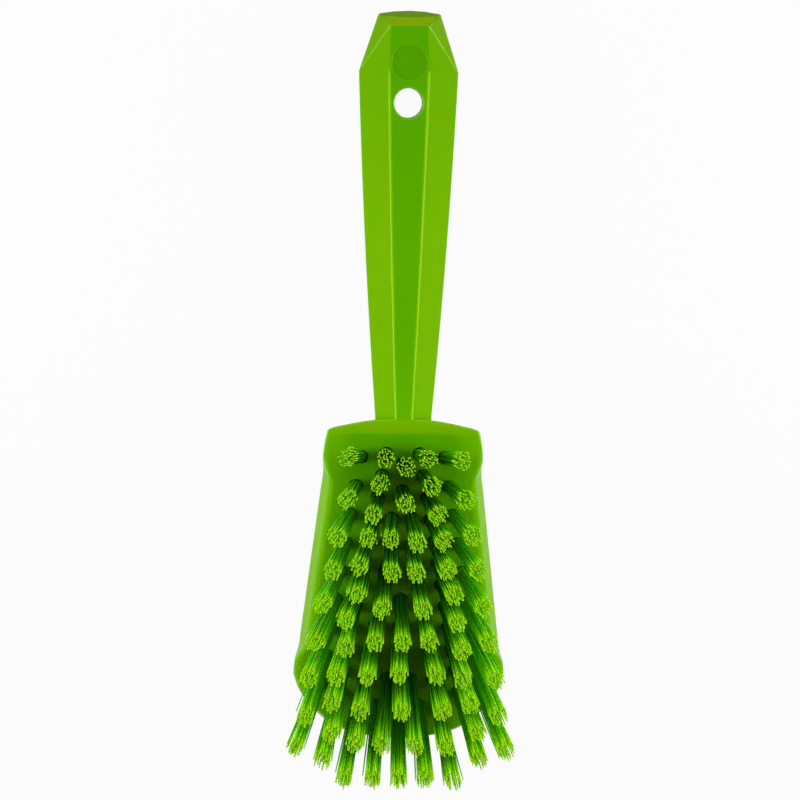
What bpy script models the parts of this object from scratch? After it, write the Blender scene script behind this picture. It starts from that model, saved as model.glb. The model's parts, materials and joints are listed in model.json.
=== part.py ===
"""Scrub brush: a one-piece moulded body with a hanging hole, and 68 tufts set in its face.

The brush lies on its back, as it does on a bench: bristles up, handle towards +Y.
It is modelled in the frame of its bristle face, with the start of every length at the crease
where the handle's plane meets the face, and one empty then sets it down on the floor.
"""
import math

import bmesh
import bpy
from mathutils import Vector

# Sizes of the bristle block, in metres
BLOCK_LENGTH = 0.1155
BLOCK_WIDTH = 0.0758
BLOCK_DEPTH_AT_CREASE = 0.0323
SIDE_RIDGE_DEPTH = 0.0090
FACE_INSET = 0.0026
NOSE_FLARE = 0.0030
SHOULDER_WIDTH = 0.0536
SHOULDER_REACH = 0.0058
SHOULDER_SAG = 0.0045
SHOULDER_UNDERCUT = 0.0034
BACK_START = 0.0200
BACK_LENGTH = 0.0670
BACK_WIDTH_AT_NECK = 0.0280
BACK_WIDTH_AT_NOSE = 0.0440
BLOCK_EDGE_RADIUS = 0.0008

# Sizes of the handle, measured along its front flat from the crease
HANDLE_BEND = math.radians(11.5)
HANDLE_ROOT = 0.0120
HANDLE_ROOT_DROP = 0.0050
NECK_START = 0.0050
HANDLE_TAPER_START = 0.1254
HANDLE_FLAT_END = 0.1412
HANDLE_END = 0.1455
HANDLE_REST = 0.1370
NECK_WIDTH = 0.0200
HANDLE_WIDTH = 0.0349
HANDLE_TIP_WIDTH = 0.0216
HANDLE_CROWN = 0.0007
NECK_FLAT_WIDTH = 0.0056
NECK_BACK_WIDTH = 0.0100
HANDLE_FLAT_WIDTH = 0.0136
FLAT_CROWN = 0.0003
HANDLE_RIDGE_DEPTH = 0.0092
NECK_DEPTH = 0.0230
HANDLE_DEPTH = 0.0190
HANDLE_EDGE_RADIUS = 0.0012

# Hanging hole and the shallow round mark beyond it
HANG_HOLE_AT = 0.1147
HANG_HOLE_WIDTH = 0.0100
HANG_HOLE_LENGTH = 0.0103
MARK_AT = 0.1287
MARK_WIDTH = 0.0120
MARK_LENGTH = 0.0124
MARK_DEPTH = 0.0003

# Tufts: blind holes drilled along the fan, and the clearance round each root
TUFT_HOLE_DIAMETER = 0.0050
TUFT_HOLE_DEPTH = 0.0100
TUFT_CLEARANCE = 0.0003
TUFT_TIP_DIAMETER = 0.0064
BRISTLE_LENGTH = 0.0360
ROOT_STANDOFF = 0.0002
STRAND_WIDTH = 0.0012
STRAND_MARGIN = 0.0002
STRANDS_AROUND = 5
FIRST_STRAND_TURN = math.radians(90)
FAN_CENTRE = 0.0544
FAN_RADIUS_ACROSS = 0.1235
FAN_RADIUS_ALONG = 0.1503

# Outer and second columns on each side: the first tuft from the crease, the last from the nose
OUTER_COUNT = 9
OUTER_START = 0.0086
OUTER_NOSE_MARGIN = 0.0216
OUTER_SHOULDER_MARGIN = 0.0121
OUTER_SIDE_MARGIN = 0.0099
SECOND_COUNT = 12
SECOND_START = 0.0073
SECOND_NOSE_MARGIN = 0.0188

# Rows between the second columns, from the crease to the nose
ROW_COUNTS = (1, 1, 2, 2, 2, 3, 3, 3, 4, 5)
ROW_START = 0.0109
ROW_NOSE_MARGIN = 0.0130
STRIP_WIDTH = 0.0016
STRIP_DEPTH = 0.0014

# Shared by all cuts: how far a cutter runs past what it cuts
OVERRUN = 0.0040
# Sides of a tuft hole and its root, and of the hanging hole and the mark
TUFT_SIDES = 10
HOLE_SIDES = 32

# Side stations of the block from shoulder to nose, as shares: along the block's length,
# of its half width, of the face's inset, along the back flat, of the back's half width at the nose
SIDE_SHARES = (
    (0.006, 0.711, 0.00, 0.00, 0.62),
    (0.074, 0.739, 0.00, 0.03, 0.64),
    (0.108, 0.739, 0.20, 0.07, 0.65),
    (0.137, 0.745, 0.75, 0.11, 0.66),
    (0.165, 0.759, 1.00, 0.15, 0.67),
    (0.690, 0.953, 1.00, 0.77, 0.96),
    (0.735, 0.985, 0.15, 0.82, 0.99),
    (0.790, 1.000, 0.10, 0.87, 1.00),
    (0.850, 0.932, 0.10, 0.94, 0.94),
    (0.918, 0.775, 0.20, 0.99, 0.80),
    (0.970, 0.570, 0.25, 1.00, 0.55),
)
# Points across the shoulder's arc and the nose's arc, as shares of the half width of each
SHOULDER_ARC_SHARES = (0.0, 0.25, 0.5, 0.75, 0.97)
NOSE_ARC_SHARES = (0.55, 0.0)
# First and last tuft of the second column, as shares of the outer column's distance from the middle
SECOND_ACROSS_SHARES = (0.397, 0.771)
# Outermost tuft of each row, as a share of the second column's distance from the middle
ROW_REACH_SHARES = (0.0, 0.0, 0.35, 0.297, 0.406, 0.467, 0.52, 0.566, 0.60, 0.65)
# Handle stations, as shares of the stretch from the neck to the start of its taper
HANDLE_STATION_SHARES = (0.0, 0.25, 0.5, 0.75, 1.0)

REST_REACH = math.hypot(HANDLE_REST, HANDLE_DEPTH)
HANDLE_SLOPE = math.asin(BLOCK_DEPTH_AT_CREASE / REST_REACH) - math.atan2(HANDLE_DEPTH, HANDLE_REST)
FACE_TILT = HANDLE_BEND - HANDLE_SLOPE


def clear_scene():
    """Remove whatever the file holds."""
    for found in list(bpy.data.objects):
        bpy.data.objects.remove(found, do_unlink=True)


def make_material(name, colour, roughness):
    """One Principled material of a moulded plastic."""
    material = bpy.data.materials.new(name)
    material.use_nodes = True
    shader = material.node_tree.nodes["Principled BSDF"]
    shader.inputs["Base Color"].default_value = (*colour, 1.0)
    shader.inputs["Roughness"].default_value = roughness
    shader.inputs["Metallic"].default_value = 0.0
    return material


def make_object(name, bm, material=None):
    """Turn a bmesh into a linked object with outward faces."""
    bmesh.ops.recalc_face_normals(bm, faces=bm.faces)
    mesh = bpy.data.meshes.new(name)
    bm.to_mesh(mesh)
    bm.free()
    made = bpy.data.objects.new(name, mesh)
    bpy.context.collection.objects.link(made)
    if material:
        mesh.materials.append(material)
    return made


def make_cutter(name, bm):
    """A tool body that cuts other pieces and is no piece itself."""
    cutter = make_object(name, bm)
    cutter.hide_render = True
    cutter.display_type = "WIRE"
    return cutter


def add_boolean(target, tool, operation):
    """Join or cut one object by another."""
    modifier = target.modifiers.new(operation.title(), "BOOLEAN")
    modifier.solver = "EXACT"
    modifier.operation = operation
    modifier.object = tool


def add_bevel(target, width, segments):
    """Round the moulded edges of an object."""
    modifier = target.modifiers.new("Edges", "BEVEL")
    modifier.width = width
    modifier.segments = segments
    modifier.limit_method = "ANGLE"
    modifier.angle_limit = math.radians(28)


def loft(bm, rings, close_end=True):
    """Skin closed rings of equally many points, cap the first, and the last if asked."""
    loops = [[bm.verts.new(point) for point in ring] for ring in rings]
    for lower, upper in zip(loops, loops[1:]):
        for i in range(len(lower)):
            j = (i + 1) % len(lower)
            bm.faces.new((lower[i], lower[j], upper[j], upper[i]))
    bm.faces.new(loops[0])
    if close_end:
        bm.faces.new(loops[-1])
    return loops


def mirrored(half):
    """Close a right-hand outline, listed from one end of the middle line to the other."""
    left = [Vector((-point.x, point.y, point.z)) for point in reversed(half[1:-1])]
    return half + left


def floor_depth(along):
    """Height of the floor in the face's frame, under a point that far along it."""
    return -(BLOCK_DEPTH_AT_CREASE + along * math.sin(FACE_TILT)) / math.cos(FACE_TILT)


def handle_point(along, across, depth):
    """A point given along the handle's front flat, across it, and below it."""
    y = along * math.cos(HANDLE_BEND) - depth * math.sin(HANDLE_BEND)
    z = -along * math.sin(HANDLE_BEND) - depth * math.cos(HANDLE_BEND)
    return Vector((across, y, z))


def handle_normal():
    """Direction out of the handle's front flat."""
    return Vector((0, math.sin(HANDLE_BEND), math.cos(HANDLE_BEND)))


def face_outline():
    """Edge of the bristle face, before the handle's plane trims its shoulder."""
    half = []
    for share in SHOULDER_ARC_SHARES:
        x = share * SHOULDER_WIDTH / 2
        half.append(Vector((x, SHOULDER_REACH - SHOULDER_SAG * share * share, 0)))
    for along, width, inset, _, _ in SIDE_SHARES:
        x = width * BLOCK_WIDTH / 2 - inset * FACE_INSET
        half.append(Vector((x, -along * BLOCK_LENGTH, 0)))
    corner = half[-1]
    for share in NOSE_ARC_SHARES:
        rise = (BLOCK_LENGTH + corner.y) * (1 - share * share)
        half.append(Vector((share * corner.x, corner.y - rise, 0)))
    return mirrored(half)


def ridge_outline():
    """Widest line of the block, below the face."""
    half = []
    for share in SHOULDER_ARC_SHARES:
        x = share * SHOULDER_WIDTH / 2
        y = SHOULDER_REACH - SHOULDER_SAG * share * share - SHOULDER_UNDERCUT
        half.append(Vector((x, y, -SIDE_RIDGE_DEPTH)))
    for along, width, _, _, _ in SIDE_SHARES:
        y = -along * (BLOCK_LENGTH + NOSE_FLARE) - (1 - along) * SHOULDER_UNDERCUT
        half.append(Vector((width * BLOCK_WIDTH / 2, y, -SIDE_RIDGE_DEPTH)))
    corner = half[-1]
    for share in NOSE_ARC_SHARES:
        rise = (BLOCK_LENGTH + NOSE_FLARE + corner.y) * (1 - share * share)
        half.append(Vector((share * corner.x, corner.y - rise, -SIDE_RIDGE_DEPTH)))
    return mirrored(half)


def back_outline():
    """Edge of the flat that the block lies on."""
    half = []
    for share in SHOULDER_ARC_SHARES:
        half.append(Vector((share * BACK_WIDTH_AT_NECK / 2, -BACK_START, floor_depth(-BACK_START))))
    for _, _, _, along, width in SIDE_SHARES:
        y = -BACK_START - along * BACK_LENGTH
        half.append(Vector((width * BACK_WIDTH_AT_NOSE / 2, y, floor_depth(y))))
    corner = half[-1]
    for share in NOSE_ARC_SHARES:
        half.append(Vector((share * corner.x, corner.y, corner.z)))
    return mirrored(half)


def make_block():
    """Bristle block: face, ridge and back lofted, then trimmed by the handle's plane."""
    bm = bmesh.new()
    loft(bm, (back_outline(), ridge_outline(), face_outline()))
    everything = bm.verts[:] + bm.edges[:] + bm.faces[:]
    cut = bmesh.ops.bisect_plane(
        bm, geom=everything, plane_co=Vector(), plane_no=handle_normal(), clear_outer=True
    )
    rim = [item for item in cut["geom_cut"] if isinstance(item, bmesh.types.BMEdge)]
    bmesh.ops.contextual_create(bm, geom=rim)
    block = make_object("block_form", bm)
    add_bevel(block, BLOCK_EDGE_RADIUS, 2)
    return block


def handle_ring(share):
    """Six-sided section of the handle at a share of its straight stretch."""
    along = NECK_START + share * (HANDLE_TAPER_START - NECK_START)
    swell = 4 * share * (1 - share)
    side = (NECK_WIDTH + share * (HANDLE_WIDTH - NECK_WIDTH)) / 2 + swell * HANDLE_CROWN
    flat = (NECK_FLAT_WIDTH + share * (HANDLE_FLAT_WIDTH - NECK_FLAT_WIDTH)) / 2 + swell * FLAT_CROWN
    back = (NECK_BACK_WIDTH + share * (HANDLE_FLAT_WIDTH - NECK_BACK_WIDTH)) / 2
    depth = NECK_DEPTH + share * (HANDLE_DEPTH - NECK_DEPTH)
    return handle_section(along, along, (flat, side, back), 0, depth)


def handle_section(flat_along, ridge_along, half_widths, front, depth):
    """Front flat, two side ridges and back flat, from their half widths."""
    flat, side, back = half_widths
    return [
        handle_point(flat_along, -flat, front),
        handle_point(flat_along, flat, front),
        handle_point(ridge_along, side, HANDLE_RIDGE_DEPTH),
        handle_point(flat_along, back, depth),
        handle_point(flat_along, -back, depth),
        handle_point(ridge_along, -side, HANDLE_RIDGE_DEPTH),
    ]


def handle_root_ring():
    """Section where the handle ends inside the block, below the bristle face."""
    half_widths = (NECK_FLAT_WIDTH / 2, NECK_WIDTH / 2, NECK_BACK_WIDTH / 2)
    return handle_section(-HANDLE_ROOT, -HANDLE_ROOT, half_widths, HANDLE_ROOT_DROP, NECK_DEPTH)


def make_handle():
    """Handle: six-sided sections lofted along its length, with bevelled corners at the end."""
    rings = [handle_root_ring()]
    rings += [handle_ring(share) for share in HANDLE_STATION_SHARES]
    bm = bmesh.new()
    last = loft(bm, rings, close_end=False)[-1]
    half_widths = (HANDLE_FLAT_WIDTH / 2, HANDLE_TIP_WIDTH / 2, HANDLE_FLAT_WIDTH / 2)
    tip_ring = handle_section(HANDLE_FLAT_END, HANDLE_END, half_widths, 0, HANDLE_DEPTH)
    tip = [bm.verts.new(point) for point in tip_ring]
    front_left, front_right, ridge_right, back_right, back_left, ridge_left = range(6)
    bm.faces.new((last[front_left], last[front_right], tip[front_right], tip[front_left]))
    bm.faces.new((last[back_right], last[back_left], tip[back_left], tip[back_right]))
    for flat, ridge in (
        (front_right, ridge_right),
        (back_right, ridge_right),
        (front_left, ridge_left),
        (back_left, ridge_left),
    ):
        bm.faces.new((last[flat], last[ridge], tip[flat]))
        bm.faces.new((last[ridge], tip[ridge], tip[flat]))
    bm.faces.new((tip[front_left], tip[front_right], tip[ridge_right], tip[ridge_left]))
    bm.faces.new((tip[back_left], tip[back_right], tip[ridge_right], tip[ridge_left]))
    handle = make_object("handle_form", bm)
    add_bevel(handle, HANDLE_EDGE_RADIUS, 2)
    handle.hide_render = True
    handle.display_type = "WIRE"
    return handle


def make_oval_cutter(name, at, width, length, depth):
    """Oval cutter square to the handle's front flat, centred that far along it."""
    bm = bmesh.new()
    rings = []
    for level in (-OVERRUN, depth):
        ring = []
        for i in range(HOLE_SIDES):
            turn = math.tau * i / HOLE_SIDES
            across = math.cos(turn) * width / 2
            ring.append(handle_point(at + math.sin(turn) * length / 2, across, level))
        rings.append(ring)
    loft(bm, rings)
    return make_cutter(name, bm)


def make_hang_hole():
    """Cutter of the hanging hole, through the whole handle."""
    depth = HANDLE_DEPTH + OVERRUN + OVERRUN
    return make_oval_cutter("hang_hole_cutter", HANG_HOLE_AT, HANG_HOLE_WIDTH, HANG_HOLE_LENGTH, depth)


def make_mark():
    """Cutter of the shallow round mark near the handle's end."""
    return make_oval_cutter("mark_cutter", MARK_AT, MARK_WIDTH, MARK_LENGTH, MARK_DEPTH)


def make_floor_trim():
    """Cutter that trims the body level with the floor it lies on."""
    reach = BLOCK_LENGTH + HANDLE_END
    bm = bmesh.new()
    rings = []
    for drop in (0, reach):
        ring = []
        for x, y in ((-reach, -reach), (reach, -reach), (reach, reach), (-reach, reach)):
            ring.append(Vector((x, y, floor_depth(y) - drop)))
        rings.append(ring)
    loft(bm, rings)
    return make_cutter("floor_trim_cutter", bm)


def fan_direction(root):
    """How far a tuft leans for each metre that it rises from the face."""
    return Vector((root.x / FAN_RADIUS_ACROSS, (root.y + FAN_CENTRE) / FAN_RADIUS_ALONG, 1))


def slanted_ring(root, radius, height):
    """Level ring of a tuft's hole or root at some height above the face."""
    centre = root + fan_direction(root) * height
    ring = []
    for i in range(TUFT_SIDES):
        turn = math.tau * i / TUFT_SIDES
        ring.append(centre + Vector((math.cos(turn) * radius, math.sin(turn) * radius, 0)))
    return ring


def strip_ring(row, width, height):
    """Level outline of the strip under a row, or of its groove."""
    start = row[0].x
    end = row[-1].x
    y = row[0].y
    corners = ((start, y - width / 2), (end, y - width / 2), (end, y + width / 2), (start, y + width / 2))
    return [Vector((x, y, height)) for x, y in corners]


def make_tuft_holes(columns, rows):
    """Cutters of the blind tuft holes and of the grooves that join the rows."""
    bm = bmesh.new()
    for root in columns + [root for row in rows for root in row]:
        loft(bm, [
            slanted_ring(root, TUFT_HOLE_DIAMETER / 2, -TUFT_HOLE_DEPTH),
            slanted_ring(root, TUFT_HOLE_DIAMETER / 2, OVERRUN),
        ])
    holes = make_cutter("tuft_hole_cutter", bm)
    bm = bmesh.new()
    for row in rows:
        if len(row) > 1:
            groove = STRIP_WIDTH + TUFT_CLEARANCE + TUFT_CLEARANCE
            loft(bm, [
                strip_ring(row, groove, -STRIP_DEPTH - TUFT_CLEARANCE),
                strip_ring(row, groove, OVERRUN),
            ])
    grooves = make_cutter("row_groove_cutter", bm)
    return holes, grooves


def strand_ring(centre, width, height, turn):
    """Three-sided section of one strand."""
    ring = []
    for i in range(3):
        angle = turn + math.tau * i / 3
        ring.append(centre + Vector((math.cos(angle) * width / 2, math.sin(angle) * width / 2, height)))
    return ring


def make_tuft_template():
    """One upright tuft: its packed root with six strands that spread towards their tips."""
    root_radius = TUFT_HOLE_DIAMETER / 2 - TUFT_CLEARANCE
    bm = bmesh.new()
    rings = []
    for height in (TUFT_CLEARANCE - TUFT_HOLE_DEPTH, ROOT_STANDOFF):
        ring = []
        for i in range(TUFT_SIDES):
            turn = math.tau * i / TUFT_SIDES
            ring.append(Vector((math.cos(turn) * root_radius, math.sin(turn) * root_radius, height)))
        rings.append(ring)
    loft(bm, rings)
    template = make_object("tuft_template", bm)
    tip_spread = (TUFT_TIP_DIAMETER - STRAND_WIDTH) / 2
    root_flat = root_radius * math.cos(math.pi / TUFT_SIDES)
    root_spread = root_flat - STRAND_WIDTH / 2 - STRAND_MARGIN
    foot = -STRAND_WIDTH
    bm = bmesh.new()
    loft(bm, [
        strand_ring(Vector(), STRAND_WIDTH, foot, FIRST_STRAND_TURN),
        strand_ring(Vector(), STRAND_WIDTH, BRISTLE_LENGTH, FIRST_STRAND_TURN),
    ])
    for i in range(STRANDS_AROUND):
        turn = FIRST_STRAND_TURN + math.tau * i / STRANDS_AROUND
        out = Vector((math.cos(turn), math.sin(turn), 0))
        loft(bm, [
            strand_ring(out * root_spread, STRAND_WIDTH, foot, turn),
            strand_ring(out * tip_spread, STRAND_WIDTH, BRISTLE_LENGTH, turn),
        ])
    strands = make_cutter("strand_template", bm)
    add_boolean(template, strands, "UNION")
    bpy.context.view_layer.update()
    evaluated = template.evaluated_get(bpy.context.evaluated_depsgraph_get())
    fused = bpy.data.meshes.new_from_object(evaluated)
    bpy.data.objects.remove(template, do_unlink=True)
    bpy.data.objects.remove(strands, do_unlink=True)
    return fused


def make_tuft(name, template, root, material):
    """Copy the upright tuft into its hole, leaning along the fan with its tips left level."""
    mesh = template.copy()
    mesh.name = name
    lean = fan_direction(root)
    for vertex in mesh.vertices:
        height = vertex.co.z
        level = Vector((vertex.co.x, vertex.co.y, 0))
        vertex.co = root + level + lean * height
    mesh.materials.clear()
    mesh.materials.append(material)
    tuft = bpy.data.objects.new(name, mesh)
    bpy.context.collection.objects.link(tuft)
    return tuft


def make_row(name, template, row, material):
    """A row's tufts, joined by the strip of backing between their roots."""
    first = make_tuft(name, template, row[0], material)
    for root in row[1:]:
        other = make_tuft(name + "_tuft", template, root, material)
        other.hide_render = True
        other.display_type = "WIRE"
        add_boolean(first, other, "UNION")
    if len(row) > 1:
        bm = bmesh.new()
        loft(bm, [strip_ring(row, STRIP_WIDTH, -STRIP_DEPTH), strip_ring(row, STRIP_WIDTH, 0)])
        add_boolean(first, make_cutter(name + "_strip", bm), "UNION")
    return first


def outer_across(share):
    """Distance of the outer column from the middle, at a share of its length."""
    first = SHOULDER_WIDTH / 2 - OUTER_SHOULDER_MARGIN
    last = BLOCK_WIDTH / 2 - OUTER_SIDE_MARGIN
    return first + share * (last - first)


def second_across(share):
    """Distance of the second column from the middle, at a share of its length."""
    first = SECOND_ACROSS_SHARES[0] * outer_across(0)
    last = SECOND_ACROSS_SHARES[1] * outer_across(1)
    return first + share * (last - first)


def column_roots(side, count, start, nose_margin, across):
    """Roots of one column of tufts, from the handle's end of the face to the nose."""
    roots = []
    for i in range(count):
        share = i / (count - 1)
        along = start + share * (BLOCK_LENGTH - nose_margin - start)
        roots.append(Vector((side * across(share), -along, 0)))
    return roots


def row_roots(index):
    """Roots of one of the rows between the second columns, from left to right."""
    count = ROW_COUNTS[index]
    share = index / (len(ROW_COUNTS) - 1)
    along = ROW_START + share * (BLOCK_LENGTH - ROW_NOSE_MARGIN - ROW_START)
    second_span = BLOCK_LENGTH - SECOND_NOSE_MARGIN - SECOND_START
    reach = ROW_REACH_SHARES[index] * second_across((along - SECOND_START) / second_span)
    if count == 1:
        return [Vector((0, -along, 0))]
    return [Vector((reach * (2 * i / (count - 1) - 1), -along, 0)) for i in range(count)]


def set_down(pieces):
    """Lay the brush on its back on the floor, centred on the origin."""
    frame = bpy.data.objects.new("face_frame", None)
    bpy.context.collection.objects.link(frame)
    for piece in pieces:
        piece.parent = frame
    frame.rotation_euler = (FACE_TILT, 0, 0)
    bpy.context.view_layer.update()
    graph = bpy.context.evaluated_depsgraph_get()
    places = []
    for piece in pieces:
        if piece.hide_render:
            continue
        evaluated = piece.evaluated_get(graph)
        places += [evaluated.matrix_world @ vertex.co for vertex in evaluated.data.vertices]
    lengths = [place.y for place in places]
    frame.location = (0, -(min(lengths) + max(lengths)) / 2, BLOCK_DEPTH_AT_CREASE)
    bpy.context.view_layer.update()


clear_scene()
lime = make_material("moulded_lime_plastic", (0.12, 0.42, 0.004), 0.35)
bristle = make_material("lime_bristle_filament", (0.14, 0.50, 0.01), 0.4)

body = make_block()
body.name = "brush_body"
body.data.name = "brush_body"
body.data.materials.append(lime)

columns = {}
for side_name, side in (("left", -1), ("right", 1)):
    columns["outer_tuft_" + side_name] = column_roots(
        side, OUTER_COUNT, OUTER_START, OUTER_NOSE_MARGIN, outer_across
    )
    columns["second_tuft_" + side_name] = column_roots(
        side, SECOND_COUNT, SECOND_START, SECOND_NOSE_MARGIN, second_across
    )
rows = [row_roots(index) for index in range(len(ROW_COUNTS))]

hole_cutter, groove_cutter = make_tuft_holes([root for roots in columns.values() for root in roots], rows)
add_boolean(body, make_handle(), "UNION")
add_boolean(body, make_floor_trim(), "DIFFERENCE")
add_boolean(body, make_hang_hole(), "DIFFERENCE")
add_boolean(body, make_mark(), "DIFFERENCE")
add_boolean(body, hole_cutter, "DIFFERENCE")
add_boolean(body, groove_cutter, "DIFFERENCE")

tuft_template = make_tuft_template()
for column, roots in columns.items():
    for number, root in enumerate(roots, start=1):
        make_tuft(f"{column}_{number}", tuft_template, root, bristle)
for number, row in enumerate(rows, start=1):
    make_row(f"middle_row_{number}", tuft_template, row, bristle)
bpy.data.meshes.remove(tuft_template)
set_down(list(bpy.data.objects))
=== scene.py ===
# %% [markdown]
# # A lime scrub brush, dressed on its CAD part
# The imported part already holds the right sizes: one moulded body and 68 tufts of thick strands.
# Here the body gets its smooth outlines, round edges and open tuft holes, and every tuft gets its
# real filaments, fifty or so of them, each half a millimetre thick.
# Each new piece takes the place of the CAD node that it stands for, and rides on the same body.

# %% Load the fixed frame
import json
import math
import random

import bmesh
import bpy
from mathutils import Matrix, Vector

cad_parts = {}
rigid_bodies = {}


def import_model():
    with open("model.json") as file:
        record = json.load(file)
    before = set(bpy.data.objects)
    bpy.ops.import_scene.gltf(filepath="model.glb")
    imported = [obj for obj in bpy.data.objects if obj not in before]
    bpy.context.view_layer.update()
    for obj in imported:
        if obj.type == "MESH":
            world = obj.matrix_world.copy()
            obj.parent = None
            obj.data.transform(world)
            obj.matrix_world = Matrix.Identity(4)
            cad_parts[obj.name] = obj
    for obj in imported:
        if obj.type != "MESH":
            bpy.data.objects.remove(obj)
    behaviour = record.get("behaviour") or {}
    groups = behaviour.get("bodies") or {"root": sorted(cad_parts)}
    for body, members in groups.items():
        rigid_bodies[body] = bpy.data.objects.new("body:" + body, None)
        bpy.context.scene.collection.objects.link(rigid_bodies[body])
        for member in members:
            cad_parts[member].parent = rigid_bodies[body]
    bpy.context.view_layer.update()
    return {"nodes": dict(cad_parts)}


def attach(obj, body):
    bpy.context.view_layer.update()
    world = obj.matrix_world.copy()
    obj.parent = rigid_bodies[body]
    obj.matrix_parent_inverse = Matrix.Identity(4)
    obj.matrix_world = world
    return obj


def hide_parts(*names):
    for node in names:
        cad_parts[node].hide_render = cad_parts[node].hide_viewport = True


for left_over in list(bpy.data.objects):
    bpy.data.objects.remove(left_over, do_unlink=True)
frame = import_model()

# %% [markdown]
# ## Sizes and the face's own frame
# The brush lies on its back, so nothing on it is level: the bristle face tips forward a few degrees
# and the handle slopes down to the floor. It is far easier to model with the face level, at height
# zero, and the crease where the handle's plane meets the face at y = 0. Every piece is made there
# and set down at the end, in the place that the CAD body shows: its highest line is the crease.

# %% Sizes of the block, in metres
BLOCK_LENGTH = 0.1155
BLOCK_WIDTH = 0.0758
RIDGE_DEPTH = 0.0090
FACE_INSET = 0.0026
NOSE_FLARE = 0.0036
NOSE_LIP = 0.0007
SHOULDER_WIDTH = 0.0536
SHOULDER_REACH = 0.0058
SHOULDER_SAG = 0.0045
SHOULDER_UNDERCUT = 0.0034
BACK_START = 0.0200
BACK_LENGTH = 0.0670
BACK_WIDTH_AT_NECK = 0.0280
BACK_WIDTH_AT_NOSE = 0.0440

# %% Sizes of the handle, measured along its front flat from the crease
HANDLE_BEND = math.radians(11.5)
HANDLE_ROOT = 0.0120
HANDLE_ROOT_DROP = 0.0050
NECK_START = 0.0050
TAPER_START = 0.1254
FLAT_END = 0.1412
HANDLE_END = 0.1455
NECK_WIDTH = 0.0200
HANDLE_WIDTH = 0.0349
TIP_WIDTH = 0.0216
NECK_FLAT = 0.0056
HANDLE_FLAT = 0.0136
NECK_BACK = 0.0100
HANDLE_RIDGE_DEPTH = 0.0092
NECK_DEPTH = 0.0230
HANDLE_DEPTH = 0.0190
HANDLE_CROWN = 0.0007
FLAT_CROWN = 0.0003

# %% Find the crease and the tilt of the face on the CAD body
HANDLE_REST = 0.1370
crease = max((v.co for v in frame["nodes"]["brush_body"].data.vertices), key=lambda point: point.z)
slope = math.asin(crease.z / math.hypot(HANDLE_REST, HANDLE_DEPTH)) - math.atan2(HANDLE_DEPTH, HANDLE_REST)
FACE_TILT = HANDLE_BEND - slope
SET_DOWN = Matrix.Translation((0, crease.y, crease.z)) @ Matrix.Rotation(FACE_TILT, 4, "X")
print("crease at", tuple(round(c, 4) for c in crease), "face tilt", round(math.degrees(FACE_TILT), 2))


# %% [markdown]
# ## Small helpers for working as by hand
# An operator acts on whatever is selected, so each step starts from nothing selected. In edit mode
# the vertices or edges to work on are picked by where they are, as one would with the mouse. Two
# places that are less than a thousandth of a millimetre apart count as the same.

# %% Helpers
NEAR = 1e-6


def start_piece(name):
    """Name the primitive just added and go into edit mode on it."""
    piece = bpy.context.active_object
    piece.name = name
    piece.data.name = name
    bpy.ops.object.mode_set(mode="EDIT")
    return piece


def clear_selection():
    """Leave edit mode and deselect every object."""
    if bpy.context.object and bpy.context.object.mode != "OBJECT":
        bpy.ops.object.mode_set(mode="OBJECT")
    bpy.ops.object.select_all(action="DESELECT")


def work_on(piece):
    """Make one object the only selected and active one."""
    clear_selection()
    piece.select_set(True)
    bpy.context.view_layer.objects.active = piece


def pick(piece, test, kind="verts"):
    """In edit mode, select the vertices, edges or faces that pass a test, and nothing else."""
    modes = {"verts": "VERT", "edges": "EDGE", "faces": "FACE"}
    bpy.ops.mesh.select_mode(type=modes[kind])
    bpy.ops.mesh.select_all(action="DESELECT")
    bm = bmesh.from_edit_mesh(piece.data)
    picked = [item for item in getattr(bm, kind) if test(item)]
    for item in picked:
        item.select_set(True)
    bm.select_flush_mode()
    bmesh.update_edit_mesh(piece.data)
    return len(picked)


def picked_points(piece):
    """Positions of the selected vertices."""
    bm = bmesh.from_edit_mesh(piece.data)
    return [vert.co.copy() for vert in bm.verts if vert.select]


def apply_modifier(piece, kind, **settings):
    """Add a modifier with its settings, and apply it."""
    work_on(piece)
    modifier = piece.modifiers.new(kind.title(), kind)
    for key, value in settings.items():
        setattr(modifier, key, value)
    bpy.ops.object.modifier_apply(modifier=modifier.name)


def cut(piece, tool, operation="DIFFERENCE"):
    """Cut a piece with a tool body or join the two, and throw the tool away."""
    apply_modifier(piece, "BOOLEAN", object=tool, operation=operation, solver="EXACT")
    bpy.data.objects.remove(tool, do_unlink=True)


def add_object(name, data):
    """Put a new object with this mesh, lamp or camera in the scene."""
    added = bpy.data.objects.new(name, data)
    bpy.context.collection.objects.link(added)
    return added


def join(pieces):
    """Join a list of pieces into the first of them."""
    clear_selection()
    for piece in pieces:
        piece.select_set(True)
    bpy.context.view_layer.objects.active = pieces[0]
    if len(pieces) > 1:
        bpy.ops.object.join()
    return pieces[0]


def set_down(piece):
    """Move a finished piece from the face's frame to its place on the floor."""
    piece.data.transform(SET_DOWN)
    piece.data.update()


print("helpers ready")

# %% [markdown]
# ## The block: three outlines, one above the other
# The block is a single injection moulding. Its face is an outline that steps in from the shoulder by
# an S-curve and widens to a round nose, its widest line runs nine millimetres lower, and its back is
# a smaller flat that it lies on. One could carve it from a box, but the outline is a free curve, so it
# starts as a circle whose points are walked onto the outline and is then extruded down in steps.
# The first steps are the face's margin, which curves down a little all round before the side begins.
# The table gives each side station as shares: along the length, of the half width, of the face's
# inset, along the back flat, and of the back's half width.

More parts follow.
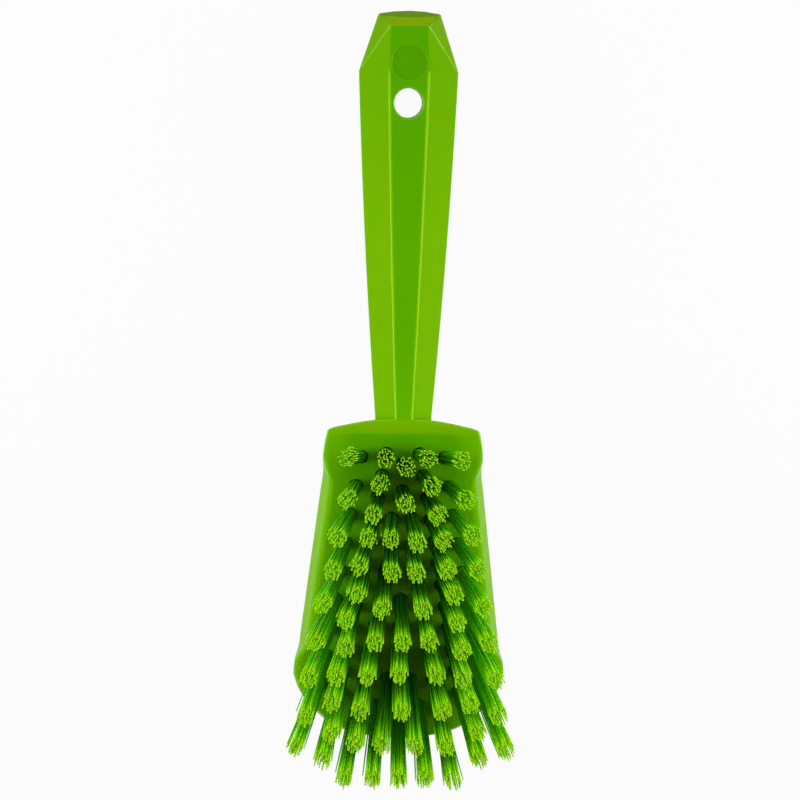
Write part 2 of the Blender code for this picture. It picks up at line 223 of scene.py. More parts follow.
# %% Outline table and the curve through it
SIDE_SHARES = (
    (0.006, 0.711, 0.00, 0.00, 0.62),
    (0.074, 0.739, 0.00, 0.03, 0.64),
    (0.108, 0.739, 0.20, 0.07, 0.65),
    (0.137, 0.745, 0.75, 0.11, 0.66),
    (0.165, 0.759, 1.00, 0.15, 0.67),
    (0.200, 0.772, 1.00, 0.19, 0.69),
    (0.650, 0.939, 1.00, 0.72, 0.94),
    (0.690, 0.953, 1.00, 0.77, 0.96),
    (0.735, 0.985, 0.15, 0.82, 0.99),
    (0.783, 1.000, 0.10, 0.86, 1.00),
    (0.800, 0.990, 0.10, 0.89, 0.99),
    (0.850, 0.932, 0.10, 0.94, 0.94),
    (0.918, 0.775, 0.20, 0.99, 0.80),
    (0.970, 0.570, 0.25, 1.00, 0.55),
)
SHOULDER_SHARES = (0.0, 0.25, 0.5, 0.75, 0.97)
NOSE_SHARES = (0.55, 0.0)
CURVE_STEPS = 4


def floor_depth(along):
    """Height of the floor in the face's frame, under a point that far along it."""
    return -(crease.z + along * math.sin(FACE_TILT)) / math.cos(FACE_TILT)


def closed_curve(half):
    """Mirror a right-hand outline and run a smooth closed curve through its points."""
    points = half + [Vector((-p.x, p.y, p.z)) for p in reversed(half[1:-1])]
    count = len(points)
    curve = []
    for i in range(count):
        before, start, end, after = (points[(i + k) % count] for k in (-1, 0, 1, 2))
        reach = (end - start).length
        leave = (end - before).normalized() * reach
        arrive = (after - start).normalized() * reach
        for step in range(CURVE_STEPS):
            t = step / CURVE_STEPS
            curve.append(
                start * (2 * t**3 - 3 * t**2 + 1) + leave * (t**3 - 2 * t**2 + t)
                + end * (3 * t**2 - 2 * t**3) + arrive * (t**3 - t**2)
            )
    return curve


def block_outline(level):
    """Smooth outline of the block at its face, its widest line or its back flat."""
    half = []
    for share in SHOULDER_SHARES:
        y = SHOULDER_REACH - SHOULDER_SAG * share * share
        if level == "face":
            half.append(Vector((share * SHOULDER_WIDTH / 2, y, 0)))
        elif level == "ridge":
            half.append(Vector((share * SHOULDER_WIDTH / 2, y - SHOULDER_UNDERCUT, -RIDGE_DEPTH)))
        else:
            half.append(Vector((share * BACK_WIDTH_AT_NECK / 2, -BACK_START, floor_depth(-BACK_START))))
    for along, width, inset, back_along, back_width in SIDE_SHARES:
        x = width * BLOCK_WIDTH / 2
        if level == "face":
            half.append(Vector((x - inset * FACE_INSET, -along * BLOCK_LENGTH, 0)))
        elif level == "ridge":
            y = -along * (BLOCK_LENGTH + NOSE_FLARE) - (1 - along) * SHOULDER_UNDERCUT
            half.append(Vector((x, y, -RIDGE_DEPTH)))
        else:
            y = -BACK_START - back_along * BACK_LENGTH
            half.append(Vector((back_width * BACK_WIDTH_AT_NOSE / 2, y, floor_depth(y))))
    corner = half[-1]
    nose = {"face": BLOCK_LENGTH + NOSE_LIP, "ridge": BLOCK_LENGTH + NOSE_FLARE, "back": -corner.y}[level]
    for share in NOSE_SHARES:
        half.append(Vector((share * corner.x, corner.y - (nose + corner.y) * (1 - share * share), corner.z)))
    return closed_curve(half)


print("outline points:", len(block_outline("face")))

# %% Walk a circle onto the face's outline and extrude it down in steps
SLOTS = FLATS, EDGES, RECESS, FLANKS, SLANTS, BROW, END = range(7)
MARGIN_SHARES = (1.0, 0.67, 0.33, 0.0)
MARGIN_WIDTH = 0.0032
MARGIN_DROP = 0.0011
MARGIN_FADE = 0.0140


def follow(piece, start, target):
    """Move each selected vertex from its point of one outline to the same point of the next."""
    bm = bmesh.from_edit_mesh(piece.data)
    for vert in bm.verts:
        if vert.select:
            nearest = min(range(len(start)), key=lambda i: (start[i] - vert.co).length_squared)
            vert.co = target[nearest]
    bmesh.update_edit_mesh(piece.data)


def on_upper_flank(face):
    """The faces between the margin and the widest line."""
    depths = [-vert.co.z for vert in face.verts]
    return max(depths) < RIDGE_DEPTH + NEAR and max(depths) - min(depths) > RIDGE_DEPTH / 2


face_line = block_outline("face")
levels = []
for share in MARGIN_SHARES:
    across, along = (1 - share * MARGIN_WIDTH / (size / 2) for size in (BLOCK_WIDTH, BLOCK_LENGTH))
    level = []
    for point in face_line:
        x, y = point.x * across, (point.y + BLOCK_LENGTH / 2) * along - BLOCK_LENGTH / 2
        fade = min(1, max(0, -y / MARGIN_FADE))
        level.append(Vector((x, y, -MARGIN_DROP * (1 - share) ** 2 * fade * fade * (3 - 2 * fade))))
    levels.append(level)
levels += [block_outline("ridge"), block_outline("back")]
clear_selection()
bpy.ops.mesh.primitive_circle_add(vertices=len(face_line), radius=BLOCK_WIDTH / 2, fill_type="NGON")
body = start_piece("moulded_body")
for slot in SLOTS:
    body.data.materials.append(None)
for vertex, point in zip(bmesh.from_edit_mesh(body.data).verts, levels[0]):
    vertex.co = point
for upper, lower in zip(levels, levels[1:]):
    bpy.ops.mesh.extrude_region_move(TRANSFORM_OT_translate={"value": (0, 0, 0)})
    follow(body, upper, lower)
bpy.ops.mesh.select_all(action="SELECT")
bpy.ops.mesh.normals_make_consistent(inside=False)
body.active_material_index = FLANKS
print("upper flank faces:", pick(body, on_upper_flank, "faces"))
bpy.ops.object.material_slot_assign()
bpy.ops.mesh.select_all(action="SELECT")
print("block loft:", len(bmesh.from_edit_mesh(body.data).faces), "faces")

# %% Trim the shoulder along the handle's plane and round the edges that run round the block
BLOCK_ROUNDING = 0.0007
SHARP = math.radians(18)
STEEPEST_RISE = 0.45

bpy.ops.mesh.bisect(
    plane_co=(0, 0, 0), plane_no=(0, math.sin(HANDLE_BEND), math.cos(HANDLE_BEND)),
    use_fill=True, clear_outer=True,
)


def runs_round(edge):
    """A sharp edge of the sides that is close to level."""
    rise = abs(edge.verts[0].co.z - edge.verts[1].co.z)
    beside_side = min(abs(face.normal.z) for face in edge.link_faces) < 0.5
    return beside_side and edge.calc_face_angle() > SHARP and rise < STEEPEST_RISE * edge.calc_length()


print("edges to round:", pick(body, runs_round, "edges"))
bpy.ops.transform.edge_bevelweight(value=1)
clear_selection()
apply_modifier(
    body, "BEVEL", width=BLOCK_ROUNDING, segments=3, limit_method="WEIGHT", use_clamp_overlap=False,
    material=EDGES,
)
print("block after its trim and rounding:", len(body.data.polygons), "faces")

# %% [markdown]
# ## The handle: a six-sided bar, extruded station by station
# The handle is a bar with a narrow front flat, two slanting sides that meet in a ridge on each side,
# and a flat back. A hexagon at the root is pulled along, and at each station its three pairs of
# corners are set to their width and depth. The bar is made level and then turned to its slope.

# %% Stations of the handle: how far along, and its corner pairs as half width, depth and slant
def pairs_at(along):
    """Front, ridge and back pairs of the plain tapering bar at a station."""
    share = (along - NECK_START) / (TAPER_START - NECK_START)
    swell = max(0, 4 * share * (1 - share))
    flat = NECK_FLAT + share * (HANDLE_FLAT - NECK_FLAT)
    width = NECK_WIDTH + share * (HANDLE_WIDTH - NECK_WIDTH)
    back = NECK_BACK + share * (HANDLE_FLAT - NECK_BACK)
    return (
        (flat / 2 + swell * FLAT_CROWN, 0, 0),
        (width / 2 + swell * HANDLE_CROWN, HANDLE_RIDGE_DEPTH, 0),
        (back / 2, NECK_DEPTH + share * (HANDLE_DEPTH - NECK_DEPTH), 0),
    )


root_pairs = (
    (NECK_FLAT / 2, HANDLE_ROOT_DROP, 0),
    (NECK_WIDTH / 2, HANDLE_RIDGE_DEPTH, 0),
    (NECK_BACK / 2, NECK_DEPTH, 0),
)
tip_pairs = (
    (HANDLE_FLAT / 2, 0, 0),
    (TIP_WIDTH / 2, HANDLE_RIDGE_DEPTH, HANDLE_END - FLAT_END),
    (HANDLE_FLAT / 2, HANDLE_DEPTH, 0),
)
stations = []
for share in (0.0, 0.15, 0.3, 0.45, 0.6, 0.75, 0.9, 1.0):
    along = NECK_START + share * (TAPER_START - NECK_START)
    stations.append((along, pairs_at(along)))
stations.append((FLAT_END, tip_pairs))
print("handle stations:", len(stations))


# %% Extrude the hexagon along the stations
def is_one_of(points):
    """Test for vertices that stand on one of these points."""
    return lambda vert: any((vert.co - point).length < NEAR for point in points)


def set_section(piece, along, pairs):
    """Set the three pairs of corners of the selected hexagon, front, ridge and back."""
    corners = sorted(picked_points(piece), key=lambda point: -point.z)
    for k, (half_width, depth, slant) in enumerate(pairs):
        pair = corners[2 * k:2 * k + 2]
        pick(piece, is_one_of(pair))
        centre = (pair[0] + pair[1]) / 2
        bpy.ops.transform.resize(value=(half_width / abs(pair[0].x), 1, 1), center_override=centre)
        bpy.ops.transform.translate(value=(0, along + slant - centre.y, -depth - centre.z))
        corners[2 * k:2 * k + 2] = picked_points(piece)
    pick(piece, is_one_of(corners))


PULL = 0.001
clear_selection()
bpy.ops.mesh.primitive_circle_add(
    vertices=6, radius=NECK_WIDTH / 2, fill_type="NGON", location=(0, -HANDLE_ROOT, -NECK_DEPTH / 2),
    rotation=(math.radians(90), math.radians(30), 0),
)
handle = start_piece("handle")
bpy.ops.object.mode_set(mode="OBJECT")
bpy.ops.object.transform_apply(location=True, rotation=True)
bpy.ops.object.mode_set(mode="EDIT")
set_section(handle, -HANDLE_ROOT, root_pairs)
for along, pairs in stations:
    bpy.ops.mesh.extrude_region_move(TRANSFORM_OT_translate={"value": (0, PULL, 0)})
    set_section(handle, along, pairs)
print("handle:", len(bmesh.from_edit_mesh(handle.data).verts), "corners")

# %% [markdown]
# ## The handle's end
# The end is cut slantwise and each corner is a flat triangle. The upper slant is not one plane: its
# outer line bows outwards by a millimetre and a lens-shaped steeper facet lies along it. So the slant
# is subdivided into a grid, and the grid's rows are moved onto those two bowed lines.

# %% Crease the corner triangles
tip_front, tip_ridge, tip_back = (
    [Vector((side * half, FLAT_END + slant, -depth)) for side in (-1, 1)]
    for half, depth, slant in tip_pairs
)
last_ridge = [Vector((side * HANDLE_WIDTH / 2, TAPER_START, -HANDLE_RIDGE_DEPTH)) for side in (-1, 1)]
pick(handle, is_one_of(tip_ridge))
bpy.ops.mesh.vert_connect()
for side in (0, 1):
    for flat in (tip_front, tip_back):
        pick(handle, is_one_of((last_ridge[side], flat[side])))
        bpy.ops.mesh.vert_connect()

# %% Bow the upper slant
BROW_REACH = (0.80, 0.74)
BROW_DEPTH = (0.0072, 0.0034)
END_BOW = 0.0011
SLANT_CUTS = 3
BROW_ROW = SLANT_CUTS / (SLANT_CUTS + 1)


def on_upper_slant(face):
    """The four-sided face between the front flat's end and the ridge line."""
    return all(vert.co.y > FLAT_END - NEAR and vert.co.z > -HANDLE_RIDGE_DEPTH - NEAR for vert in face.verts)


pick(handle, on_upper_slant, "faces")
bpy.ops.mesh.subdivide(number_cuts=SLANT_CUTS)
bm = bmesh.from_edit_mesh(handle.data)
for vert in bm.verts:
    row = (vert.co.y - FLAT_END) / (HANDLE_END - FLAT_END)
    if vert.select and row > 1e-4:
        half = HANDLE_FLAT / 2 + row * (TIP_WIDTH - HANDLE_FLAT) / 2
        across = vert.co.x / half
        middle = 1 - across * across
        if row > 0.99:
            vert.co.y += END_BOW * middle
        else:
            step = row / BROW_ROW
            reach = step * (BROW_REACH[0] + (BROW_REACH[1] - BROW_REACH[0]) * middle)
            depth = step * (BROW_DEPTH[0] + (BROW_DEPTH[1] - BROW_DEPTH[0]) * middle)
            half = HANDLE_FLAT / 2 + reach * (TIP_WIDTH - HANDLE_FLAT) / 2
            vert.co = Vector((across * half, FLAT_END + reach * (HANDLE_END - FLAT_END), -depth))
bmesh.update_edit_mesh(handle.data)
bpy.ops.mesh.select_all(action="SELECT")
bpy.ops.mesh.normals_make_consistent(inside=False)
print("upper slant bowed")

# %% Round the long edges and the end's edges
HANDLE_ROUNDING = 0.0009
SHARP_ON_HANDLE = math.radians(13)


def is_long_or_end(edge):
    """Sharp edges along the bar, and those of the end."""
    if not edge.is_manifold or edge.calc_face_angle() < SHARP_ON_HANDLE:
        return False
    run = abs(edge.verts[0].co.y - edge.verts[1].co.y)
    return run > 0.5 * edge.calc_length() or min(vert.co.y for vert in edge.verts) > FLAT_END - NEAR


def is_front_edge(edge):
    """The two long edges of the front flat."""
    in_front = all(abs(vert.co.z) < NEAR and vert.co.y < FLAT_END + NEAR for vert in edge.verts)
    return is_long_or_end(edge) and in_front


def is_ridge_or_end(edge):
    """The side ridges and the edges of the end, which are crisper."""
    beyond = min(vert.co.y for vert in edge.verts) > TAPER_START - NEAR
    on_ridge = all(abs(vert.co.z + HANDLE_RIDGE_DEPTH) < NEAR for vert in edge.verts)
    return is_long_or_end(edge) and (beyond or on_ridge)


print("edges to round:", pick(handle, is_long_or_end, "edges"))
bpy.ops.transform.edge_bevelweight(value=1)
for crisper, less in ((is_front_edge, -0.4), (is_ridge_or_end, -0.6)):
    pick(handle, crisper, "edges")
    bpy.ops.transform.edge_bevelweight(value=less)
clear_selection()
print("edges weighted")

# %% Give each facet of the handle its slot, and round the edges
BROW_BOTTOM = -0.0085
END_MARGIN = 0.0005


def facet_slot(face, corners):
    """Slot of a facet, by where it is and which way it faces."""
    near_end, far_end = min(corner.y for corner in corners), max(corner.y for corner in corners)
    slanting = abs(face.normal.x) > 0.3
    if face.normal.z < 0.05 or far_end < TAPER_START - NEAR:
        return SLANTS if slanting and face.normal.z > 0.1 else FLATS
    if near_end > FLAT_END - NEAR and min(corner.z for corner in corners) > BROW_BOTTOM:
        return BROW
    if far_end > FLAT_END + NEAR:
        return END
    return SLANTS if slanting else FLATS


for slot in SLOTS:
    handle.data.materials.append(None)
for face in handle.data.polygons:
    face.material_index = facet_slot(face, [handle.data.vertices[i].co for i in face.vertices])
apply_modifier(
    handle, "BEVEL", width=HANDLE_ROUNDING, segments=3, limit_method="WEIGHT", use_clamp_overlap=False,
    material=EDGES,
)
for face in handle.data.polygons:
    if face.material_index == EDGES and face.center.y > FLAT_END + END_MARGIN:
        face.material_index = END
print("handle after rounding:", len(handle.data.polygons), "faces")

# %% Turn the handle to its slope, rub its end level with the floor and join it to the block
handle.data.transform(Matrix.Rotation(-HANDLE_BEND, 4, "X"))
bpy.ops.object.mode_set(mode="EDIT")
bpy.ops.mesh.select_all(action="SELECT")
bpy.ops.mesh.bisect(
    plane_co=(0, 0, floor_depth(0)), plane_no=(0, math.sin(FACE_TILT), math.cos(FACE_TILT)),
    use_fill=True, clear_inner=True,
)
clear_selection()
cut(body, handle, "UNION")
print("joined body:", len(body.data.polygons), "faces")

# %% [markdown]
# ## The hanging hole and the round mark
# A pin in the mould leaves the slightly oval hanging hole near the handle's end, square to the
# handle's front. Beyond it is a shallow round recess. Each is a cylinder taken away, and then the
# rim is picked by its distance from the middle and rounded, because a moulded rim is never sharp.

# %% Cut the hanging hole and the mark
HANG_HOLE = (0.1147, 0.0100, 0.0103)
MARK = (0.1287, 0.0120, 0.0124)
MARK_DEPTH = 0.0002
THROUGH = 0.030
TOOL_TOP = 0.004
RIM_ROUNDING = 0.0005
MARK_ROUNDING = 0.9 * MARK_DEPTH
RIM_LEVEL = 0.0004
RIM_SHARE = 0.004
TO_HANDLE = Matrix.Rotation(HANDLE_BEND, 4, "X")


def oval_tool(name, place, bottom):
    """Oval cylinder square to the handle's front flat, from above it down to a depth."""
    at, width, length = place
    clear_selection()
    bpy.ops.mesh.primitive_cylinder_add(
        vertices=64, radius=width / 2, depth=TOOL_TOP + bottom, location=(0, at, (TOOL_TOP - bottom) / 2),
    )
    tool = start_piece(name)
    bpy.ops.transform.resize(value=(1, length / width, 1), center_override=(0, at, 0))
    clear_selection()
    tool.select_set(True)
    bpy.ops.object.transform_apply(location=True, rotation=True, scale=True)
    tool.data.transform(TO_HANDLE.inverted())
    return tool


def soften_rim(piece, place, radius, deepest):
    """Round the rim edges of an oval cut, down to a depth below the front flat."""
    at, width, length = place

    def on_rim(edge):
        """Both ends on the oval, and level with each other."""
        ends = [TO_HANDLE @ vert.co for vert in edge.verts]
        if abs(ends[0].z - ends[1].z) > RIM_LEVEL or min(end.z for end in ends) < -deepest:
            return False
        return all(abs(math.hypot(end.x / width, (end.y - at) / length) - 0.5) < RIM_SHARE for end in ends)

    work_on(piece)
    bpy.ops.object.mode_set(mode="EDIT")
    count = pick(piece, on_rim, "edges")
    bpy.ops.mesh.bevel(offset=radius, segments=3, affect="EDGES", clamp_overlap=True, material=EDGES)
    clear_selection()
    return count


cut(body, oval_tool("hang_hole_tool", HANG_HOLE, THROUGH))
print("hanging hole rim edges:", soften_rim(body, HANG_HOLE, RIM_ROUNDING, THROUGH))
mark_tool = oval_tool("mark_tool", MARK, MARK_DEPTH)
for slot in SLOTS:
    mark_tool.data.materials.append(None)
for face in mark_tool.data.polygons:
    face.material_index = RECESS
cut(body, mark_tool)
print("mark rim edges:", soften_rim(body, MARK, MARK_ROUNDING, MARK_DEPTH / 2))

# %% [markdown]
# ## Where the 68 tufts stand
# The tufts lean outwards like a fan, so their holes are drilled along the same fan. Two straight
# columns run down each side and ten short rows fill the space between them, from one tuft at the
# neck to five at the nose. These are the CAD's own places, so every new tuft fits its node.

# %% Tuft places
FAN_CENTRE = 0.0544
FAN_RADIUS_ACROSS = 0.1235
FAN_RADIUS_ALONG = 0.1503
OUTER = {"count": 9, "start": 0.0086, "nose_margin": 0.0216}
SECOND = {"count": 12, "start": 0.0073, "nose_margin": 0.0188}
OUTER_SHOULDER_MARGIN = 0.0121
OUTER_SIDE_MARGIN = 0.0099
SECOND_SHARES = (0.397, 0.771)
ROW_COUNTS = (1, 1, 2, 2, 2, 3, 3, 3, 4, 5)
ROW_START = 0.0109
ROW_NOSE_MARGIN = 0.0130
ROW_REACH_SHARES = (0.0, 0.0, 0.35, 0.297, 0.406, 0.467, 0.52, 0.566, 0.60, 0.65)

outer_ends = (SHOULDER_WIDTH / 2 - OUTER_SHOULDER_MARGIN, BLOCK_WIDTH / 2 - OUTER_SIDE_MARGIN)
second_ends = (SECOND_SHARES[0] * outer_ends[0], SECOND_SHARES[1] * outer_ends[1])


def between(ends, share):
    """A value that runs evenly from one end to the other."""
    return ends[0] + share * (ends[1] - ends[0])


tuft_places = {}
for side_name, side in (("left", -1), ("right", 1)):
    for column, layout, ends in (("outer", OUTER, outer_ends), ("second", SECOND, second_ends)):
        span = BLOCK_LENGTH - layout["nose_margin"] - layout["start"]
        for i in range(layout["count"]):
            share = i / (layout["count"] - 1)
            root = Vector((side * between(ends, share), -layout["start"] - share * span, 0))
            tuft_places[f"{column}_tuft_{side_name}_{i + 1}"] = [root]
for i, count in enumerate(ROW_COUNTS):
    along = between((ROW_START, BLOCK_LENGTH - ROW_NOSE_MARGIN), i / (len(ROW_COUNTS) - 1))
    second_share = (along - SECOND["start"]) / (BLOCK_LENGTH - SECOND["nose_margin"] - SECOND["start"])
    reach = ROW_REACH_SHARES[i] * between(second_ends, second_share)
    spots = [0.0] if count == 1 else [reach * (2 * k / (count - 1) - 1) for k in range(count)]
    tuft_places[f"middle_row_{i + 1}"] = [Vector((x, -along, 0)) for x in spots]


def lean_from(root):
    """Place a thing at a root, sheared along the fan so that level stays level."""
    across, along = root.x / FAN_RADIUS_ACROSS, (root.y + FAN_CENTRE) / FAN_RADIUS_ALONG
    return Matrix(((1, 0, across, root.x), (0, 1, along, root.y), (0, 0, 1, 0), (0, 0, 0, 1)))


print("nodes of tufts:", len(tuft_places), "tufts:", sum(len(roots) for roots in tuft_places.values()))

# %% [markdown]
# ## Drill the tuft holes
# Brush makers drill a blind hole for each tuft and punch the folded filaments in with a flat metal
# anchor. One drill, a cylinder with a pointed tip, is modelled and copied to every place, the copies
# are joined, and the whole set is cut at once.

# %% One drill, 68 copies, one cut
HOLE_DIAMETER = 0.0050
HOLE_DEPTH = 0.0100
DRILL_TOP = 0.0020
DRILL_POINT = 0.0008
DRILL_POINT_SHARE = 0.2
clear_selection()
bpy.ops.mesh.primitive_cylinder_add(
    vertices=28, radius=HOLE_DIAMETER / 2, depth=HOLE_DEPTH + DRILL_TOP,
    location=(0, 0, (DRILL_TOP - HOLE_DEPTH) / 2),
)
drill = start_piece("drill")
bpy.ops.object.mode_set(mode="OBJECT")
bpy.ops.object.transform_apply(location=True)
bpy.ops.object.mode_set(mode="EDIT")
pick(drill, lambda face: face.normal.z < -0.9, "faces")
bpy.ops.mesh.extrude_region_move(TRANSFORM_OT_translate={"value": (0, 0, -DRILL_POINT)})
bpy.ops.transform.resize(value=(DRILL_POINT_SHARE, DRILL_POINT_SHARE, 1))
clear_selection()
drills = []
for roots in tuft_places.values():
    for root in roots:
        mesh = drill.data.copy()
        mesh.transform(lean_from(root))
        drills.append(add_object("drill_copy", mesh))
all_drills = join(drills)
bpy.data.objects.remove(drill, do_unlink=True)
cut(body, all_drills)
print("body with its holes:", len(body.data.polygons), "faces")

# %% Smooth shading that keeps the flats flat
work_on(body)
bpy.ops.object.shade_smooth_by_angle(angle=math.radians(32))
apply_modifier(body, "WEIGHTED_NORMAL", keep_sharp=True, weight=80)
set_down(body)
print("body box", [tuple(round(1000 * c, 1) for c in corner) for corner in list(body.bound_box)[::6]])

# %% [markdown]
# ## Writing shader maths as plain expressions
# A material's pattern is arithmetic on numbers that change over the surface. The class below wraps a
# socket so that such arithmetic can be written with plus, minus and times, and each expression adds
# its own Math nodes. Every other node comes from one method: its type, its settings, and the values
# or links of its sockets.

# %% Socket and Finish
class Socket:
    """A number that varies over a surface, and that adds, subtracts and multiplies like one."""

    def __init__(self, finish, output):
        self.finish = finish
        self.output = output

    def maths(self, operation, first, second):
        """A Math node on two values or sockets."""
        return self.finish.node("ShaderNodeMath", {"operation": operation}, {0: first, 1: second})

    def __abs__(self):
        return self.maths("ABSOLUTE", self, 0.0)

    def __add__(self, other):
        return self.maths("ADD", self, other)

    def __sub__(self, other):
        return self.maths("SUBTRACT", self, other)

    def __rsub__(self, other):
        return self.maths("SUBTRACT", other, self)

    def __mul__(self, other):
        return self.maths("MULTIPLY", self, other)

    __radd__ = __add__
    __rmul__ = __mul__


class Finish:
    """A material with one Principled shader and the nodes that drive it."""

    def __init__(self, name, **constants):
        self.material = bpy.data.materials.new(name)
        self.material.use_nodes = True
        self.tree = self.material.node_tree
        self.shader = self.tree.nodes["Principled BSDF"]
        for socket, value in constants.items():
            self.shader.inputs[socket.replace("_", " ")].default_value = value

    def node(self, kind, settings=None, sockets=None, output=0):
        """Add a node, set it up, feed its sockets, and give back one of its outputs."""
        made = self.tree.nodes.new(kind)
        for key, value in (settings or {}).items():
            if key == "stops":
                ramp = made.color_ramp
                for place, colour in value[1:-1]:
                    ramp.elements.new(place).color = colour
                for end, (place, colour) in ((0, value[0]), (-1, value[-1])):
                    ramp.elements[end].position = place
                    ramp.elements[end].color = colour
            else:
                setattr(made, key, value)
        for key, value in (sockets or {}).items():
            self.feed(made.inputs[key], value)
        return Socket(self, made.outputs[output])

    def feed(self, target, value):
        """Link a socket, or set a plain value."""
        if isinstance(value, Socket):
            self.tree.links.new(value.output, target)
        else:
            target.default_value = value

    def drive(self, **links):
        """Feed sockets of the shader."""
        for socket, value in links.items():
            self.feed(self.shader.inputs[socket.replace("_", " ")], value)

    def place(self):
        """Object coordinates, which on these pieces are metres in the world."""
        return self.node("ShaderNodeTexCoord", output="Object")

    def axes(self):
        """The Object coordinates one by one."""
        parts = self.tree.nodes.new("ShaderNodeSeparateXYZ")
        self.feed(parts.inputs[0], self.place())
        return [Socket(self, output) for output in parts.outputs]

    def share(self, value, start, end):
        """A soft step from 0 to 1 while a value goes from start to end."""
        settings = {"interpolation_type": "SMOOTHSTEP"}
        return self.node("ShaderNodeMapRange", settings, {"Value": value, 1: start, 2: end})

    def noise(self, size, detail=2.0, rough=0.5):
        """Soft noise whose blots are about that many metres across."""
        values = {"Vector": self.place(), "Scale": 1 / size, "Detail": detail, "Roughness": rough}
        return self.node("ShaderNodeTexNoise", {"noise_dimensions": "3D"}, values)

    def blend(self, share, first, second):
        """Mix two colours by a share."""
        settings = {"data_type": "RGBA"}
        return self.node("ShaderNodeMix", settings, {0: share, 6: first, 7: second}, output=2)

    def tint(self, share, colour, by):
        """Multiply a colour by another, by a share."""
        settings = {"data_type": "RGBA", "blend_type": "MULTIPLY"}
        return self.node("ShaderNodeMix", settings, {0: share, 6: colour, 7: by}, output=2)

    def bump(self, height, depth):
        """Turn a height from 0 to 1 into a bumped normal of that depth in metres."""
        return self.node("ShaderNodeBump", sockets={"Height": height, "Distance": depth, "Strength": 1.0})


print("shader helpers ready")

# %% [markdown]
# ## The moulded plastic
# The body is lime polypropylene straight from the mould: an even, saturated colour, a satin skin that
# is finely grained by the spark-eroded steel, and very faint flow marks where the melt met behind the
# hole. So the colour moves by a few parts in a hundred, the roughness by a little more, and the bump
# has two sizes: the grain, and the shallow waves of a thick moulding that shrank as it cooled. Light
# and shade are painted into the colour as well: the face's margin and the band at the neck are painted
# paler, as light that goes a little way into the thin plastic there would make them, and the end of
# the handle and the face among the tufts are painted darker with painted shade. Each group of facets
# has a finish of its own, a paler or darker copy of the one lime with the studio's light on that facet
# painted in, and the rounded edges are painted paler for a painted highlight. Ranges are in metres in
# the world: across is from the middle, and along is towards the handle's end.

# %% Body finishes, one for each slot
# Painted light and shade: a paler margin and band, a darker handle end, shade among the tufts.
PAINTED_LIGHT_TINT = (1.55, 1.20, 1.0, 1)
PAINTED_END_SHADE = (0.87, 0.95, 1.0, 1)
PAINTED_TUFT_SHADE = (0.95, 0.72, 1.0, 1)
WIDENING = 0.0965
MARGIN_ACROSS, MARGIN_ALONG = (0.0150, 0.0235), (-0.006, -0.014)
BAND_ALONG, BAND_EDGE = (0.030, -0.012), (-0.0126, -0.0120)
BAND_SHARE = 0.45
INNER_ACROSS, INNER_ALONG = (0.0120, -0.0020), (-0.022, -0.034)
PAINTED_END_SHADE_ALONG = (0.050, 0.115)


def painted_light_share(finish):
    """Share of painted light: 1 along the face's margin, and less on the band between crease and neck."""
    across, along, _ = finish.axes()
    aside = abs(across) + WIDENING * along
    margin = finish.share(aside, *MARGIN_ACROSS) * finish.share(along, *MARGIN_ALONG)
    band = finish.share(along, *BAND_ALONG) * finish.share(along, *BAND_EDGE)
    return margin + BAND_SHARE * band


def moulded_lime(name, dark, pale, gloss, rough, on_face):
    """One of the body's finishes, with the same grain and waves in all."""
    finish = Finish(
        name, IOR=1.49, Specular_IOR_Level=gloss, Specular_Tint=(1.0, 1.0, 0.01, 1.0),
        Subsurface_Weight=0.4, Subsurface_Radius=(0.5, 1.0, 0.1), Subsurface_Scale=0.004,
    )
    flow = finish.noise(0.030, detail=3.0, rough=0.55)
    grain = finish.noise(0.00035, detail=3.0, rough=0.6)
    waves = finish.noise(0.012, detail=1.0)
    wear = finish.noise(0.004, detail=4.0, rough=0.7)
    scuffs = finish.node("ShaderNodeMapRange", sockets={"Value": wear, 1: 0.52, 2: 0.72})
    across, along, _ = finish.axes()
    # Painted shade: the handle's colour is painted darker towards its end.
    colour = finish.tint(finish.share(along, *PAINTED_END_SHADE_ALONG), finish.blend(flow, dark, pale), PAINTED_END_SHADE)
    # On the face: painted light on the margin and band, painted shade among the tufts.
    if on_face:
        aside = abs(across) + WIDENING * along
        painted_tuft_shade_share = finish.share(aside, *INNER_ACROSS) * finish.share(along, *INNER_ALONG)
        colour = finish.tint(painted_tuft_shade_share, finish.tint(painted_light_share(finish), colour, PAINTED_LIGHT_TINT), PAINTED_TUFT_SHADE)
    finish.drive(
        Base_Color=colour,
        Roughness=rough + 0.10 * grain + 0.06 * scuffs,
        Normal=finish.bump(0.12 * grain + 0.88 * waves, 0.00006),
    )
    return finish


# Lit and shaded copies of one lime: each facet group's colours have its light painted in,
# and the edge's paler colour is a painted highlight; the recess is a little darker.
LIT_AND_SHADED_LIMES = (
    ("plastic", (0.097, 0.390, 0.0001, 1), (0.111, 0.415, 0.0002, 1), 0.06, 0.34),
    ("edge", (0.120, 0.440, 0.0010, 1), (0.140, 0.470, 0.0020, 1), 0.50, 0.14),
    ("recess", (0.088, 0.352, 0.0001, 1), (0.100, 0.372, 0.0002, 1), 0.06, 0.28),
    ("flank", (0.176, 0.442, 0.0001, 1), (0.196, 0.467, 0.0002, 1), 0.03, 0.30),
    ("slant", (0.160, 0.428, 0.0001, 1), (0.180, 0.453, 0.0002, 1), 0.02, 0.30),
    ("brow", (0.300, 0.520, 0.0001, 1), (0.330, 0.545, 0.0002, 1), 0.02, 0.30),
    ("end", (0.165, 0.375, 0.0001, 1), (0.190, 0.395, 0.0002, 1), 0.02, 0.30),
)
for slot, (name, dark, pale, gloss, rough) in zip(SLOTS, LIT_AND_SHADED_LIMES):
    finish = moulded_lime(f"moulded_lime_{name}", dark, pale, gloss, rough, on_face=slot == FLATS)
    body.data.materials[slot] = finish.material
    print(finish.material.name, "nodes:", len(finish.tree.nodes))
